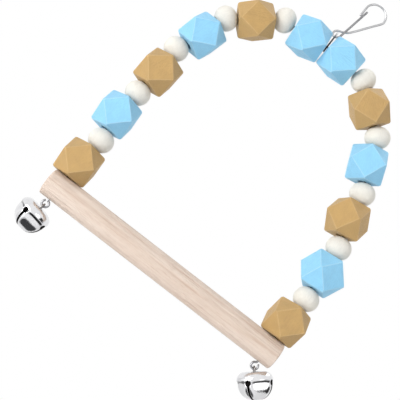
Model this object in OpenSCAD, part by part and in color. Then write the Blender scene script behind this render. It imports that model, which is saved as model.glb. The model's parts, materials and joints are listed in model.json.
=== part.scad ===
// Bird swing: a wooden perch under an arch of wooden beads on a steel wire, with a spring clip
// at the top on a link ring and a jingle bell under each end of the perch.
// +X runs along the perch, +Z is up when the swing hangs, -Y faces the viewer.
// The origin is on the inside of the clip's bow, where the bow bears on a cage bar.

/* [Perch] */
// Length of the wooden perch
perch_l = 150; // [140:1:200]
// Diameter of the perch
perch_d = 15; // [12:0.5:18]
// Width of the chamfer round each end of the perch
perch_chamfer = 0.6; // [0.2:0.1:1.5]
// Distance from each end of the perch to the wire that passes through it
leg_inset = 6.5; // [5:0.5:12]

/* [Arch wire] */
// Diameter of the arch wire
wire_d = 1.2; // [1:0.1:1.4]
// Radius of the flat crown of the arch, to the middle of the wire
crown_r = 280; // [200:10:320]
// Radius of the two long side bends, to the middle of the wire
side_r = 190; // [160:5:240]
// Turn of the left long side bend, in degrees
left_side_turn = 15; // [10:0.5:20]
// Turn of the right long side bend, in degrees
right_side_turn = 24.5; // [18:0.5:28]
// Turn of the flat crown on each side, in degrees
crown_turn = 2; // [1:0.5:6]
// Sideways place of the crown's middle, which leans to the left
crown_shift = -7.5; // [-8:0.5:6]
// Tilt of the crown, in degrees, rising to the right when it is negative
crown_tilt = -4; // [-5:0.5:4]
// Middle radius of the loop that each end of the wire makes under the perch
end_loop_r = 1.9; // [1.7:0.1:2.4]

/* [Faceted beads] */
// Size of a faceted bead across its flat faces
facet_size = 20; // [17:0.5:20.5]
// Length that is worn off each corner of a faceted bead, measured along its edges
facet_wear = 0.6; // [0.2:0.1:1.5]
// Diameter of the hole through a faceted bead
facet_bore = 5; // [4.2:0.1:6]

/* [Round beads] */
// Diameter of a round bead
round_d = 14.2; // [12:0.2:15]
// Length of a round bead along its hole
round_l = 11.8; // [10.5:0.1:12]
// Diameter of the hole through a round bead
round_bore = 4.8; // [4:0.1:4.9]
// Distance from a round bead's axis to the centre of its side's curve
round_core = 1; // [1:0.1:1.6]

/* [Threading] */
// Gap between a faceted bead and the round bead beside it
bead_gap = 0.4; // [0.4:0.05:1]
// Gap between the two faceted beads that the link ring passes between
crown_gap = 1.9; // [1.9:0.1:2.6]
// Gap between the perch and the bead that stands on it
seat_gap = 0.15; // [0.1:0.05:0.5]

/* [Link ring] */
// Inside diameter of the link ring
ring_bore = 12; // [11.8:0.1:16]
// Diameter of the link ring's wire
ring_wire_d = 0.9; // [0.7:0.05:1]
// Lean of the link ring behind the arch, in degrees
ring_lean = 24; // [0:1:28]

/* [Spring clip] */
// Diameter of the clip's wire
clip_wire_d = 1.3; // [1:0.05:1.4]
// Middle radius of the clip's eye
eye_r = 2.4; // [2.2:0.1:2.8]
// Middle radius of the clip's bow
bow_r = 6.5; // [6:0.1:7.5]
// Distance from the middle of the eye to the middle of the bow
clip_reach = 25.4; // [22:0.1:32]
// Tilt of the clip away from upright in the plane of the arch, in degrees
clip_tilt = 24.5; // [0:0.5:28]

/* [Bells] */
// Largest diameter of a bell
bell_d = 19; // [16:0.5:20]
// Thickness of a bell's sheet metal
bell_wall = 0.6; // [0.4:0.1:0.9]
// Height of the flattened dome above a bell's widest place
dome_h = 4.4; // [3.6:0.1:7]
// Depth of the petals below a bell's widest place
petal_h = 10.4; // [9:0.1:12]
// Distance that the flat of each petal stands in from the bell's widest round
petal_flat = 1.4; // [0.5:0.1:1.7]
// Width of the slots between the petals
slot_w = 1.6; // [0.8:0.1:2.2]
// Diameter of the round hole at the top of each slot
slot_hole_d = 3.2; // [2.4:0.1:4]
// Diameter of the wire of a bell's eye
bell_eye_wire_d = 0.9; // [0.7:0.05:1]
// Diameter of the loose ball in each bell
clapper_d = 6; // [5:0.5:7]

/* [Hidden] */
$fn = 96;
// Overrun of every cut past the face that it opens
over = 1;

// Clearances
hole_clear = 0.1;
link_clear = 0.12;
eye_clear = 0.4;
gate_clear = 0.06;
clapper_clear = 0.1;
bead_clear = 0.05;
corner_clear = 0.1;
ring_clear = 0.15;

// Wire pieces stop short of each place where they meet, and a ball a little thicker than the
// wire joins them, so that no two of their surfaces lie on each other
joint_trim_share = 0.25;
joint_swell = 0.03;

// Beads on each side, counted from the perch to the crown; odd ones are faceted
beads_per_side = 11;
facets_per_side = 6;
rounds_per_side = 5;
// Turn of each faceted bead about its hole, from the perch up, in degrees
left_turns = [-2, -1, -4, -7, -10, -10];
right_turns = [3, 26, 60, 79, 82, 77];
// Share of its play that each bead lies outwards of the wire, from the perch up
left_out_shares = [0, -1, 0.2, -0.5, -0.8, 0.9, -0.9, 1, -1, 1, -0.8];
right_out_shares = [0, 1, 0.3, 0.5, -1, 0.4, -0.9, 1, -1, 1, -0.8];

// Node names
sides = ["left", "right"];
facet_names = [for (side = sides) for (k = [1 : facets_per_side]) str("facet_bead_", side, "_", k)];
round_names = [for (side = sides) for (k = [1 : rounds_per_side]) str("round_bead_", side, "_", k)];

// Half sizes
perch_r = perch_d/2;
wire_r = wire_d/2;
ring_wire_r = ring_wire_d/2;
clip_wire_r = clip_wire_d/2;
bell_eye_wire_r = bell_eye_wire_d/2;
bell_r = bell_d/2;
clapper_r = clapper_d/2;

// Play of the beads on the wire
facet_play = facet_bore/2 - wire_r - bead_clear;
round_play = round_bore/2 - wire_r - bead_clear;
// Outwards, a round bead's play is less by the rise of the bent wire inside its hole
function round_out(share) = share*(share > 0 ? round_play - round_l*round_l/(8*tight_r) : round_play);
// Radius of a joint's ball on wire of a given radius
function joint_r(r) = r*sqrt(1 + joint_trim_share*joint_trim_share) + joint_swell;

// The arch, as bends that run down each side from the crown. Headings are in degrees below the
// horizontal, and a bend is [radius, heading where it starts, heading where it ends].
leg_x = perch_l/2 - leg_inset;
function crown_end(side) = crown_tilt*side + crown_turn;
function reach(side) = leg_x - side*crown_shift;
function crown_run(side) = crown_r*(sin(crown_end(side)) - sin(crown_tilt*side));
function side_turn(side) = side < 0 ? left_side_turn : right_side_turn;
function shoulder_r(side) =
    (reach(side) - crown_run(side) - side_r*(1 - cos(side_turn(side))))
    /(cos(side_turn(side)) - sin(crown_end(side)));
function bends(side) = [
    [crown_r, crown_tilt*side, crown_end(side)],
    [shoulder_r(side), crown_end(side), 90 - side_turn(side)],
    [side_r, 90 - side_turn(side), 90]
];
function bend_length(b) = b[0]*(b[2] - b[1])*PI/180;
function bend_run(b) = b[0]*(sin(b[2]) - sin(b[1]));
function bend_drop(b) = b[0]*(cos(b[1]) - cos(b[2]));
function total(list, i = 0) = i == len(list) ? 0 : list[i] + total(list, i + 1);
function curve_length(side) = total([for (b = bends(side)) bend_length(b)]);
function curve_drop(side) = total([for (b = bends(side)) bend_drop(b)]);

// Beads follow each other along the wire from the perch's top on both sides and meet at the crown.
// Where a shoulder is tight they stand farther apart, so that their inner edges stay clear.
tight_r = min(shoulder_r(-1), shoulder_r(1));
straight_pitch = facet_size/2 + round_l/2 + bead_gap;
bead_lean = straight_pitch/tight_r*180/PI;
round_curve_r = round_d/2 - round_core;
used_play_share = 0.75;
bend_pitch = (facet_size/2 + round_curve_r + round_core*sin(bead_lean))/cos(bead_lean/2)
    + corner_clear - used_play_share*(facet_play + round_play)*sin(bead_lean/2);
round_pitch = max(straight_pitch, bend_pitch);

// The crown gap, along the wire from the crown's middle, and the lean of the two beads beside it
gap_along = (curve_length(1) - curve_drop(1) - curve_length(-1) + curve_drop(-1))/2;
crown_half = (facet_size + crown_gap)/2;
crown_lean = walk(1, crown_half + gap_along)[2] + walk(-1, crown_half - gap_along)[2];
ring_depth = wire_r + link_clear + ring_wire_d;
crown_pitch = facet_size + max(
    crown_gap,
    facet_size/2*sin(crown_lean) + corner_clear,
    ring_wire_d + ring_depth*sin(crown_lean) + 2*ring_clear
);
wire_length = 2*(seat_gap + facet_size/2) + 2*(beads_per_side - 1)*round_pitch + crown_pitch;
curves_length = curve_length(1) + curve_length(-1);
curves_drop = curve_drop(1) + curve_drop(-1);
crown_z = perch_r + (wire_length - curves_length + curves_drop)/2;
function straight_length(side) = crown_z - perch_r - curve_drop(side);
function side_length(side) = curve_length(side) + straight_length(side);

// A place on the wire, as [x, z, heading], at a distance along the wire from the crown
function walk(side, d, i = 0, x = 0, z = 0) =
    i == len(bends(side)) ? [x, z - d, 90] :
    let (b = bends(side)[i], part = [b[0], b[1], b[1] + min(d, bend_length(b))/b[0]*180/PI])
    d <= bend_length(b) ? [x + bend_run(part), z - bend_drop(part), part[2]] :
    walk(side, d - bend_length(b), i + 1, x + bend_run(b), z - bend_drop(b));
function wire_at(side, d) =
    let (w = walk(side, d))
    [crown_shift + side*w[0], crown_z + w[1], w[2]];
function bead_at(side, k) =
    wire_at(side, side_length(side) - seat_gap - facet_size/2 - (k - 1)*round_pitch);

// The middle of the crown gap, where the link ring hangs half way between the two beads' faces
gap_at = wire_at(1, gap_along);
gap_turn = (bead_at(1, beads_per_side)[2] - bead_at(-1, beads_per_side)[2])/2;
// Distances from the wire's middle, out along the leaning ring
ring_r = ring_bore/2 + ring_wire_r;
ring_centre_out = ring_r + ring_wire_r - ring_depth;
ring_top_out = ring_centre_out + ring_r;
eye_low_out = ring_top_out - ring_wire_r - link_clear - clip_wire_r;

// The clip in its own plane, as [sideways, depth, along], with the middle of the eye at zero.
// The eye is turned so that the bow's leg passes behind the gate.
eye_turn = 22;
function eye_point(a) = [eye_r*cos(a)*cos(eye_turn), -eye_r*cos(a)*sin(eye_turn), eye_r*sin(a)];
eye_start_a = 135;
gate_start_a = 15;
gate_joint_turn = (joint_r(clip_wire_r) + gate_clear)/eye_r*180/PI;
leg_foot = eye_point(eye_start_a);
gate_foot = eye_point(gate_start_a);
bow_depth = leg_foot[1];
gate_depth = gate_foot[1];
// Places along the clip as shares of its reach, and across it as shares of the bow's radius
knee = [0.31*bow_r, bow_depth, 0.235*clip_reach];
shin = [0.47*bow_r, bow_depth, 0.385*clip_reach];
bow_start_a = 18;
bow_end_a = 187;
function bow_point(a) = [bow_r*cos(a), bow_depth, clip_reach + bow_r*sin(a)];
gate_tip = [-0.51*bow_r, gate_depth, 0.86*clip_reach];
// The hook's lip stands beside the gate, one wire's thickness and a clearance away
lip_along_share = 0.816;
gate_slope = (gate_tip[0] - gate_foot[0])/(gate_tip[2] - gate_foot[2]);
lip_along = lip_along_share*gate_tip[2];
lip_across = gate_foot[0] + gate_slope*(lip_along - gate_foot[2])
    - (clip_wire_d + gate_clear)*sqrt(1 + gate_slope*gate_slope);
hook_end = [lip_across, bow_depth, lip_along];
hook_run = hook_end - bow_point(bow_end_a);
hook_tip = hook_end + hook_run*clip_wire_r/norm(hook_run);
lip_end = [lip_across, gate_depth - clip_wire_r, lip_along];

// The bells. A bell's own zero is the middle of its eye's top wire, and its axis runs down.
end_loop_top_z = -perch_r - joint_r(wire_r) - 3*hole_clear;
end_loop_z = end_loop_top_z - end_loop_r;
bell_eye_r = 2*bell_eye_wire_d;
bell_hang_z = end_loop_z - end_loop_r + wire_r + eye_clear + bell_eye_wire_r;
pole_flat = 0.5;
dome_r = dome_h;
petal_round_h = petal_h + petal_flat/4;
petal_round_r = min(petal_round_h, bell_r - pole_flat);
flat_curve_r = min(petal_h, bell_r - petal_flat - pole_flat);
flat_curve_x = bell_r - petal_flat - flat_curve_r;
flat_curve_z = flat_curve_r - petal_h;
bell_eye_h = 2*wire_r + eye_clear + bell_eye_wire_d;
foot_y = bell_eye_r + bell_eye_wire_d;
foot_reach = max(foot_y - bell_r + dome_r, 0);
foot_drop = dome_r - bell_wall - sqrt(pow(dome_r - bell_wall, 2) - pow(foot_reach, 2));
foot_r = bell_eye_wire_r + joint_swell;
foot_z = -bell_eye_h - bell_wall - foot_drop - foot_r - hole_clear;
bell_waist_z = -bell_eye_h - dome_h;
slot_top_z = bell_waist_z - slot_hole_d/2;
clapper_low_z = bell_waist_z - petal_h + bell_wall + clapper_r + clapper_clear;
// Tilt of each bell away from the viewer, then to its own side, in degrees
left_bell_back = 8;
right_bell_back = 0;
left_bell_swing = 12;
right_bell_swing = -40;
// Turn of each bell about its own axis, in degrees
left_bell_turn = 72;
right_bell_turn = 57;

// The hanging place, on the inside of the bow's highest part, in the frame of the perch's middle
function in_arch(p) = [
    gap_at[0] + p[0]*cos(gap_turn) + p[2]*sin(gap_turn),
    p[1],
    gap_at[1] - p[0]*sin(gap_turn) + p[2]*cos(gap_turn)
];
eye_low = in_arch([0, eye_low_out*sin(ring_lean), eye_low_out*cos(ring_lean)]);
function tilted(p) = [
    p[0]*cos(clip_tilt) + p[2]*sin(clip_tilt),
    p[1],
    p[2]*cos(clip_tilt) - p[0]*sin(clip_tilt)
];
eye_low_a = atan2(-cos(clip_tilt), cos(eye_turn)*sin(clip_tilt));
eye_centre = eye_low - tilted(eye_point(eye_low_a));
function in_clip(p) = eye_centre + tilted(p);
bow_centre = in_clip([0, bow_depth, clip_reach]);
hang_point = bow_centre + [0, 0, bow_r - clip_wire_r];

module ball(p, r) {
    translate(p) sphere(r = r);
}

module joint(p, r) {
    ball(p, joint_r(r));
}

// A straight wire from one place to another, cut short at the ends marked 1, which meet a joint
module rod(a, b, r, trims = [1, 1]) {
    run = b - a;
    length = norm(run);
    trim = joint_trim_share*r;
    translate(a)
        rotate([0, acos(run[2]/length), atan2(run[1], run[0])])
        translate([0, 0, trim*trims[0]])
        cylinder(h = length - trim*(trims[0] + trims[1]), r = r);
}

// Wire along straight runs from point to point, with a joint at every point
module wire_run(points, r) {
    for (i = [0 : len(points) - 2])
        rod(points[i], points[i + 1], r);
    for (p = points)
        joint(p, r);
}

// Wire round an arc in the X-Z plane, from one angle above +X to another, cut short as above
module wire_arc(middle_r, from, to, r, trims = [1, 1]) {
    trim = joint_trim_share*r/middle_r*180/PI;
    rotate([90, 0, 0])
        rotate([0, 0, from + trim*trims[0]])
        rotate_extrude(angle = to - from - trim*(trims[0] + trims[1]))
        translate([middle_r, 0])
        circle(r = r);
}

module in_frame() {
    translate(-hang_point) children();
}

module clip_frame() {
    in_frame()
        translate(eye_centre)
        rotate([0, clip_tilt, 0])
        children();
}

module clip_body() {
    color("silver")
        clip_frame() {
            rotate([0, 0, -eye_turn])
                wire_arc(eye_r, eye_start_a, 360 + gate_start_a - gate_joint_turn, clip_wire_r, [1, 0]);
            wire_run([leg_foot, knee, shin, bow_point(bow_start_a)], clip_wire_r);
            translate([0, bow_depth, clip_reach])
                wire_arc(bow_r, bow_start_a, bow_end_a, clip_wire_r);
            joint(bow_point(bow_end_a), clip_wire_r);
            rod(bow_point(bow_end_a), hook_tip, clip_wire_r, [1, 0]);
            rod(hook_end, lip_end, clip_wire_r - joint_swell, [0, 0]);
        }
}

module clip_gate() {
    color("silver")
        clip_frame() {
            joint(gate_foot, clip_wire_r);
            rod(gate_foot, gate_tip, clip_wire_r, [1, 0]);
        }
}

module link_ring() {
    color("silver")
        in_frame()
        translate([gap_at[0], 0, gap_at[1]])
        rotate([0, gap_turn, 0])
        translate([0, ring_centre_out*sin(ring_lean), ring_centre_out*cos(ring_lean)])
        rotate([0, 90, 0])
        rotate_extrude()
        translate([ring_r, 0])
        circle(r = ring_wire_r);
}

// One bend of the arch on one side, about its own centre
module arch_bend(side, i) {
    b = bends(side)[i];
    start = wire_at(side, i == 0 ? 0 : total([for (j = [0 : i - 1]) bend_length(bends(side)[j])]));
    if (side > 0 || i > 0)
        joint([start[0], 0, start[1]], wire_r);
    translate([start[0] - side*b[0]*sin(b[1]), 0, start[1] - b[0]*cos(b[1])])
        wire_arc(b[0], side > 0 ? 90 - b[2] : 90 + b[1], side > 0 ? 90 - b[1] : 90 + b[2], wire_r);
}

// The wire's end under the perch, an open loop
end_loop_turn = 328;
module end_loop(side) {
    top = [side*leg_x, 0, end_loop_top_z];
    joint(top, wire_r);
    translate([side*leg_x, 0, end_loop_z])
        mirror([side < 0 ? 1 : 0, 0, 0])
        wire_arc(end_loop_r, 90, 90 + end_loop_turn, wire_r, [1, 0]);
}

module arch_wire() {
    color("silver")
        in_frame()
        for (side = [-1, 1]) {
            for (i = [0 : len(bends(side)) - 1])
                arch_bend(side, i);
            rod(
                [side*leg_x, 0, end_loop_top_z],
                [side*leg_x, 0, perch_r + straight_length(side)],
                wire_r
            );
            joint([side*leg_x, 0, perch_r + straight_length(side)], wire_r);
            end_loop(side);
        }
}

module perch() {
    color("wheat")
        in_frame()
        difference() {
            rotate([0, 90, 0])
                union() {
                    cylinder(h = perch_l - 2*perch_chamfer, r = perch_r, center = true);
                    for (turn = [0, 180])
                        rotate([turn, 0, 0])
                            translate([0, 0, perch_l/2 - perch_chamfer])
                            cylinder(h = perch_chamfer, r1 = perch_r, r2 = perch_r - perch_chamfer);
                }
            for (side = [-1, 1])
                translate([side*leg_x, 0, 0])
                    cylinder(h = perch_d + 2*over, r = wire_r + hole_clear, center = true);
        }
}

// Stands a bead on the wire, with +Z along the wire towards the crown and +X away from the arch
module on_wire(side, k) {
    at = bead_at(side, k);
    in_frame()
        translate([at[0], 0, at[1]])
        rotate([0, -side*(90 - at[2]), 0])
        mirror([side < 0 ? 1 : 0, 0, 0])
        children();
}

// A cube cut by four slabs square to its corner diagonals, which leaves square and three-sided faces
module facet_bead(turn, out) {
    corner_tilt = acos(1/sqrt(3));
    slab = 2*(facet_size - facet_wear)/sqrt(3);
    chamfer = 0.08*facet_bore;
    translate([out, 0, 0])
        rotate([0, 0, turn])
        difference() {
            intersection() {
                cube(facet_size, center = true);
                corner_slab(corner_tilt, slab, 0);
                corner_slab(corner_tilt, slab, 1);
                corner_slab(corner_tilt, slab, 2);
                corner_slab(corner_tilt, slab, 3);
            }
            cylinder(h = facet_size + 2*over, d = facet_bore, center = true);
            for (turn = [0, 180])
                rotate([turn, 0, 0])
                    translate([0, 0, facet_size/2 - chamfer])
                    cylinder(h = 2*chamfer, d1 = facet_bore, d2 = facet_bore + 4*chamfer);
        }
}

module corner_slab(corner_tilt, slab, i) {
    rotate([0, corner_tilt, 45 + 90*i])
        cube([2*facet_size, 2*facet_size, slab], center = true);
}

module round_bead(out) {
    translate([out, 0, 0])
        difference() {
            rotate_extrude()
                intersection() {
                    translate([round_core, 0])
                        circle(r = round_curve_r);
                    translate([0, -round_l/2])
                        square([round_d, round_l]);
                }
            cylinder(h = round_l + 2*over, d = round_bore, center = true);
        }
}

function out_shares(side) = side < 0 ? left_out_shares : right_out_shares;

module facet_on_wire(side, n) {
    turns = side < 0 ? left_turns : right_turns;
    color(n % 2 == 1 ? "tan" : "skyblue")
        on_wire(side, 2*n - 1)
        facet_bead(turns[n - 1], facet_play*out_shares(side)[2*n - 2]);
}

module round_on_wire(side, n) {
    color("ivory")
        on_wire(side, 2*n)
        round_bead(round_out(out_shares(side)[2*n - 1]));
}

// Puts a bell on its end loop, tilted as it lies
module bell_frame(side) {
    in_frame()
        translate([side*leg_x, 0, bell_hang_z])
        rotate([0, side < 0 ? left_bell_swing : right_bell_swing, 0])
        rotate([side < 0 ? left_bell_back : right_bell_back, 0, 0])
        children();
}

// Half outline of a bell as a turned body, less its wall: a dome over deeper petals
module bell_half(shrink) {
    intersection() {
        union() {
            translate([bell_r - dome_r, 0])
                circle(r = dome_r - shrink);
            square([bell_r - dome_r, dome_r - shrink]);
        }
        square([bell_d, bell_d]);
    }
    intersection() {
        union() {
            translate([bell_r - petal_round_r, petal_round_r - petal_round_h])
                circle(r = petal_round_r - shrink);
            translate([0, -petal_round_h + shrink])
                square([bell_r - petal_round_r, petal_round_h - shrink]);
            translate([0, petal_round_r - petal_round_h])
                square([bell_r - shrink, petal_round_h - petal_round_r + over]);
        }
        translate([0, -bell_d])
            square([bell_d, bell_d]);
    }
}

// End view of the bar that leaves two opposite petals flat, less the wall
module petal_outline(shrink) {
    for (s = [-1, 1])
        translate([s*flat_curve_x, flat_curve_z])
            circle(r = flat_curve_r - shrink);
    translate([-flat_curve_x, -petal_h + shrink])
        square([2*flat_curve_x, petal_h]);
    translate([-flat_curve_x - flat_curve_r + shrink, flat_curve_z])
        square([2*(flat_curve_x + flat_curve_r - shrink), shrink - flat_curve_z + over]);
    translate([-bell_d, shrink])
        square([2*bell_d, bell_d]);
}

module petal_bar(turn, shrink) {
    rotate([90, 0, turn])
        linear_extrude(2*bell_d, center = true)
        petal_outline(shrink);
}

// The bell's body, less its wall, with the middle of its waist at zero
module bell_body(shrink) {
    intersection() {
        rotate_extrude()
            bell_half(shrink);
        petal_bar(45, shrink);
        petal_bar(135, shrink);
    }
}

module bell_shell(side) {
    slit = 2*bell_eye_r + bell_eye_wire_d + 2*hole_clear;
    color("silver")
        bell_frame(side)
        rotate([0, 0, side < 0 ? left_bell_turn : right_bell_turn])
        difference() {
            translate([0, 0, bell_waist_z])
                difference() {
                    bell_body(0);
                    bell_body(bell_wall);
                }
            for (turn = [0, 90])
                rotate([0, 0, turn]) {
                    translate([-bell_d, -slot_w/2, slot_top_z - bell_d])
                        cube([2*bell_d, slot_w, bell_d]);
                    translate([0, 0, slot_top_z])
                        rotate([0, 90, 0])
                        cylinder(h = 2*bell_d, d = slot_hole_d, center = true);
                }
            rotate([0, 0, side < 0 ? -left_bell_turn : -right_bell_turn])
                translate([0, 0, -bell_eye_h])
                cube([bell_eye_wire_d + 2*hole_clear, slit, 2*bell_wall + 2*over], center = true);
        }
}

// The bell's eye: a bent wire through the dome, held by a bar across its feet
module bell_eye(side) {
    color("silver")
        bell_frame(side) {
            translate([0, 0, -bell_eye_r])
                rotate([0, 0, 90])
                wire_arc(bell_eye_r, 0, 180, bell_eye_wire_r);
            for (s = [-1, 1]) {
                joint([0, s*bell_eye_r, -bell_eye_r], bell_eye_wire_r);
                rod([0, s*bell_eye_r, -bell_eye_r], [0, s*bell_eye_r, foot_z], bell_eye_wire_r, [1, 0]);
            }
            rod([0, -foot_y, foot_z], [0, foot_y, foot_z], foot_r, [0, 0]);
        }
}

module bell_clapper(side) {
    color("dimgray")
        bell_frame(side)
        ball([0, 0, clapper_low_z], clapper_r);
}

clip_body();
clip_gate();
link_ring();
arch_wire();
perch();
for (n = [1 : facets_per_side]) {
    facet_on_wire(-1, n);
    facet_on_wire(1, n);
}
for (n = [1 : rounds_per_side]) {
    round_on_wire(-1, n);
    round_on_wire(1, n);
}
bell_shell(-1);  // bell_left_shell
bell_eye(-1);  // bell_left_eye
bell_clapper(-1);  // bell_left_clapper
bell_shell(1);  // bell_right_shell
bell_eye(1);  // bell_right_eye
bell_clapper(1);  // bell_right_clapper
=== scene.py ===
import json
import math
import random

import bmesh
import bpy
import numpy as np
from mathutils import Matrix, Vector


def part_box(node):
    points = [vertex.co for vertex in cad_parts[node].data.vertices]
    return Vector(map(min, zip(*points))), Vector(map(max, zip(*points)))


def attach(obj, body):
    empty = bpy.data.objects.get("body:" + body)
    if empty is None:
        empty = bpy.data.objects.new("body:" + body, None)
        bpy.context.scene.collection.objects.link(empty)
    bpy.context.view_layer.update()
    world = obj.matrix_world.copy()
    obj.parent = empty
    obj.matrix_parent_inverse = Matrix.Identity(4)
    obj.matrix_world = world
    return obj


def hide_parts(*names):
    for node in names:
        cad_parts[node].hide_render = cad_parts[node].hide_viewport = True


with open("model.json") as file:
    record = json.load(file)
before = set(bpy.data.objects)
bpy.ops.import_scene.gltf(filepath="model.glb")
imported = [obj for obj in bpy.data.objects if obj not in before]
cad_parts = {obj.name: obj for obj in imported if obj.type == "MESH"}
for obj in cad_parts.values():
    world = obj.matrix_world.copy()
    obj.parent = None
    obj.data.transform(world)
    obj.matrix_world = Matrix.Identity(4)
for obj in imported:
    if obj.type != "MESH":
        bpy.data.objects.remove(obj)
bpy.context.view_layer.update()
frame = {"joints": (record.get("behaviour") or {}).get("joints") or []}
MM = 0.001

# The perch's middle is the zero of every length below, in millimetres, as in the part's source
low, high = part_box("perch")
PERCH_MIDDLE = Vector([(low[i] + high[i]) / 2 for i in range(3)])
TO_ROW = Matrix.Translation(PERCH_MIDDLE) @ Matrix.Scale(MM, 4)

# Lengths in millimetres and angles in degrees that the part's source gives
PERCH_L, PERCH_R = 150.0, 7.5
LEG_X = 68.5
WIRE_R = 0.6
CROWN_R, SIDE_R = 280.0, 190.0
SIDE_TURNS = {-1: 15.0, 1: 24.5}
CROWN_TURN, CROWN_SHIFT, CROWN_TILT = 2.0, -7.5, -4.0
END_LOOP_R = 1.9
FACET_SIZE, FACET_WEAR, FACET_BORE = 20.0, 0.6, 5.0
ROUND_D, ROUND_L, ROUND_BORE, ROUND_CORE = 14.2, 11.8, 4.8, 1.0
BEAD_GAP, CROWN_GAP, SEAT_GAP = 0.4, 1.9, 0.15
RING_R, RING_WIRE_R, RING_LEAN = 6.45, 0.45, 24.0
CLIP_WIRE_R, EYE_R, BOW_R, CLIP_REACH, CLIP_TILT = 0.65, 2.4, 6.5, 25.4, 24.5
LINK_CLEAR, EYE_CLEAR, HOLE_CLEAR = 0.12, 0.4, 0.1
BELL_R, BELL_WALL, DOME_H, PETAL_H, PETAL_FLAT = 9.5, 0.6, 4.4, 10.4, 1.4
SLOT_W, SLOT_HOLE_D, BELL_EYE_WIRE_R, CLAPPER_R, POLE_FLAT = 1.6, 3.2, 0.45, 3.0, 0.5
BEADS_PER_SIDE = 11
FACET_TURNS = {-1: [-2, -1, -4, -7, -10, -10], 1: [3, 26, 60, 79, 82, 77]}
SIDES = ((-1, "left"), (1, "right"))

# How fine the meshes are
WIRE_SIDES, BORE_SIDES, ROUND_SIDES, PERCH_SIDES = 20, 56, 72, 96
PETAL_SEGMENTS, PETAL_ROWS = 32, 80


def sin(a):
    """Sine of degrees."""
    return math.sin(math.radians(a))


def cos(a):
    """Cosine of degrees."""
    return math.cos(math.radians(a))


def clamp(v):
    return min(max(v, 0.0), 1.0)


# The wire's path, as in the part's source
def bends(side):
    """Radius, first turn and last turn of the crown, the shoulder and the side."""
    a0 = CROWN_TILT * side
    a1 = a0 + CROWN_TURN
    turn = SIDE_TURNS[side]
    run = LEG_X - side * CROWN_SHIFT - CROWN_R * (sin(a1) - sin(a0)) - SIDE_R * (1 - cos(turn))
    shoulder_r = run / (cos(turn) - sin(a1))
    return [(CROWN_R, a0, a1), (shoulder_r, a1, 90.0 - turn), (SIDE_R, 90.0 - turn, 90.0)]


def length_of(b):
    return math.radians(b[0] * (b[2] - b[1]))


def drop_of(b):
    return b[0] * (cos(b[1]) - cos(b[2]))


PITCH = FACET_SIZE / 2 + ROUND_L / 2 + BEAD_GAP
WIRE_LENGTH = (2 * (SEAT_GAP + FACET_SIZE / 2) + 2 * (BEADS_PER_SIDE - 1) * PITCH
               + FACET_SIZE + CROWN_GAP)
CURVES = sum(length_of(b) for s in (1, -1) for b in bends(s))
DROPS = sum(drop_of(b) for s in (1, -1) for b in bends(s))
CROWN_Z = PERCH_R + (WIRE_LENGTH - CURVES + DROPS) / 2


def side_length(side):
    curve = sum(length_of(b) for b in bends(side))
    return curve + CROWN_Z - PERCH_R - sum(drop_of(b) for b in bends(side))


def wire_at(side, d):
    """Place (x, z) and turn of the wire at a distance d down one side from the crown's middle."""
    x, z = 0.0, 0.0
    for b in bends(side):
        length = length_of(b)
        a = b[1] + math.degrees(min(max(d, 0.0), length) / b[0])
        x += b[0] * (sin(a) - sin(b[1]))
        z -= b[0] * (cos(b[1]) - cos(a))
        if d <= length:
            return CROWN_SHIFT + side * x, CROWN_Z + z, a
        d -= length
    return CROWN_SHIFT + side * x, CROWN_Z + z - d, 90.0


# The crown gap, and the turn of the plane half way between the two beads beside it
GAP_X, GAP_Z, _ = wire_at(1, side_length(1) - WIRE_LENGTH / 2)
LAST_BEAD = SEAT_GAP + FACET_SIZE / 2 + (BEADS_PER_SIDE - 1) * PITCH
LAST_TURNS = {s: wire_at(s, side_length(s) - LAST_BEAD)[2] for s in (1, -1)}
GAP_TURN = (LAST_TURNS[1] - LAST_TURNS[-1]) / 2

# The clip's places, as in the part's source
RING_CENTRE_OUT = RING_R - WIRE_R - LINK_CLEAR - RING_WIRE_R
RING_TOP_OUT = RING_CENTRE_OUT + RING_R
EYE_LOW_OUT = RING_TOP_OUT - RING_WIRE_R - LINK_CLEAR - CLIP_WIRE_R
EYE_TURN = 22.0


def in_arch(p):
    """A point whose zero is the crown gap and whose height runs out of the arch there."""
    c, s = cos(GAP_TURN), sin(GAP_TURN)
    return Vector((GAP_X + p[0] * c + p[2] * s, p[1], GAP_Z - p[0] * s + p[2] * c))


def tilted(p):
    c, s = cos(CLIP_TILT), sin(CLIP_TILT)
    return Vector((p[0] * c + p[2] * s, p[1], p[2] * c - p[0] * s))


def eye_point(a):
    """A point of the clip's eye, in the clip's own lengths."""
    return Vector((EYE_R * cos(a) * cos(EYE_TURN), -EYE_R * cos(a) * sin(EYE_TURN), EYE_R * sin(a)))


EYE_LOW_A = math.degrees(math.atan2(-cos(CLIP_TILT), cos(EYE_TURN) * sin(CLIP_TILT)))
EYE_LOW = in_arch((0, EYE_LOW_OUT * sin(RING_LEAN), EYE_LOW_OUT * cos(RING_LEAN)))
EYE_CENTRE = EYE_LOW - tilted(eye_point(EYE_LOW_A))


def in_clip(p):
    return EYE_CENTRE + tilted(p)


# Making of meshes and objects
def set_values(mesh, name, values):
    layer = mesh.attributes.new(name, "FLOAT", "POINT")
    layer.data.foreach_set("value", np.asarray(values, dtype=np.float32))


def set_places(mesh, points):
    """The millimetres of every point, which stay with the mesh for the materials."""
    if "place" in mesh.attributes:
        mesh.attributes.remove(mesh.attributes["place"])
    layer = mesh.attributes.new("place", "FLOAT_VECTOR", "POINT")
    layer.data.foreach_set("vector", [c for p in points for c in p])


def link_object(name, data):
    ob = bpy.data.objects.new(name, data)
    bpy.context.scene.collection.objects.link(ob)
    return ob


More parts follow.
